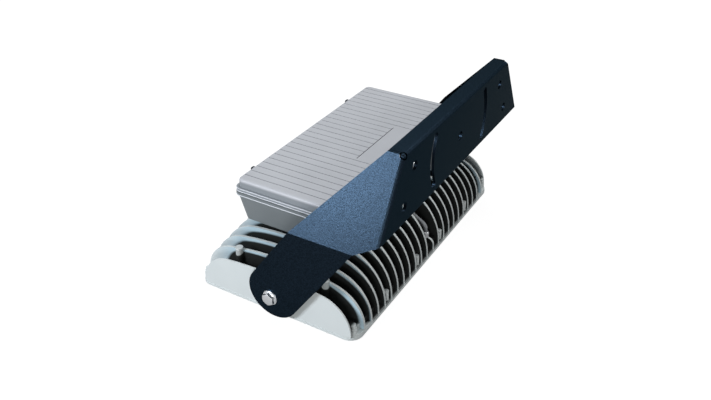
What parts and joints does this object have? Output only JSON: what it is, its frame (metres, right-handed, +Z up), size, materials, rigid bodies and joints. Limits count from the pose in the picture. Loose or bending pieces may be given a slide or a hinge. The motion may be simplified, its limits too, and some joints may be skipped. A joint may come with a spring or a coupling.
{
  "type": "flood light",
  "caption": "Large outdoor flood light: finned cast body with a gear box on its back, tilting in a folded steel wall bracket.",
  "frame": {"origin": "centre of the bracket's middle hole, on the face that lies against the wall", "axes": "+X from the lamp into the wall, +Y along the long side of the lamp and the tilt axis, +Z up"},
  "size_m": [0.3865, 0.6236, 0.3428],
  "materials": {
    "bracket_paint": "fine textured powder coat, near black with a blue cast",
    "housing_paint": "satin pale grey paint on die-cast aluminium",
    "box_paint": "satin silver-grey paint on die-cast aluminium",
    "lid_paint": "satin silver paint on die-cast aluminium",
    "bolt_steel": "bright zinc-plated steel",
    "screw_steel": "stainless steel",
    "tray_steel": "galvanised sheet steel",
    "driver_case": "anodised aluminium case",
    "clear_glass": "clear toughened glass",
    "clear_lens": "clear moulded lens plastic",
    "white_board": "white solder mask",
    "seal_rubber": "black silicone rubber",
    "black_plastic": "black glass-filled plastic",
    "grey_plastic": "light grey plastic",
    "cream_plastic": "pale plastic"
  },
  "bodies": {
    "bracket": {"bracket": "bracket_paint"},
    "head": {"led_housing": "housing_paint", "front_frame": "housing_paint", "frame_screws": "screw_steel", "front_glass": "clear_glass", "glass_seal": "seal_rubber", "led_boards": "white_board", "lens_plates": "clear_lens", "pivot_bolts": "bolt_steel", "pivot_washers": "bolt_steel", "pivot_bushes": "black_plastic", "gear_box": "box_paint", "box_screws": "screw_steel", "gear_tray": "tray_steel", "tray_screws": "screw_steel", "led_drivers": "driver_case", "driver_screws": "screw_steel", "terminal_block": "cream_plastic", "surge_protector": "grey_plastic", "cable_gland": "black_plastic", "gland_locknut": "black_plastic", "gland_cap": "black_plastic", "gland_plug": "seal_rubber", "pressure_vent": "black_plastic", "link_glands": "screw_steel", "link_conduit": "grey_plastic", "hinge_pins": "screw_steel"},
    "lid": {"gear_lid": "lid_paint", "lid_gasket": "seal_rubber", "lid_screws": "screw_steel"}
  },
  "joints": [
    {"name": "tilt", "type": "hinge", "parent": "bracket", "child": "head", "pos_m": [-0.2115, 0, -0.2381], "axis": [0, 1, 0], "range_deg": [-90, 90]},
    {"name": "lid_hinge", "type": "hinge", "parent": "head", "child": "lid", "pos_m": [-0.3336, 0, -0.0881], "axis": [0, 1, 0], "range_deg": [-100, 0]}
  ]
}
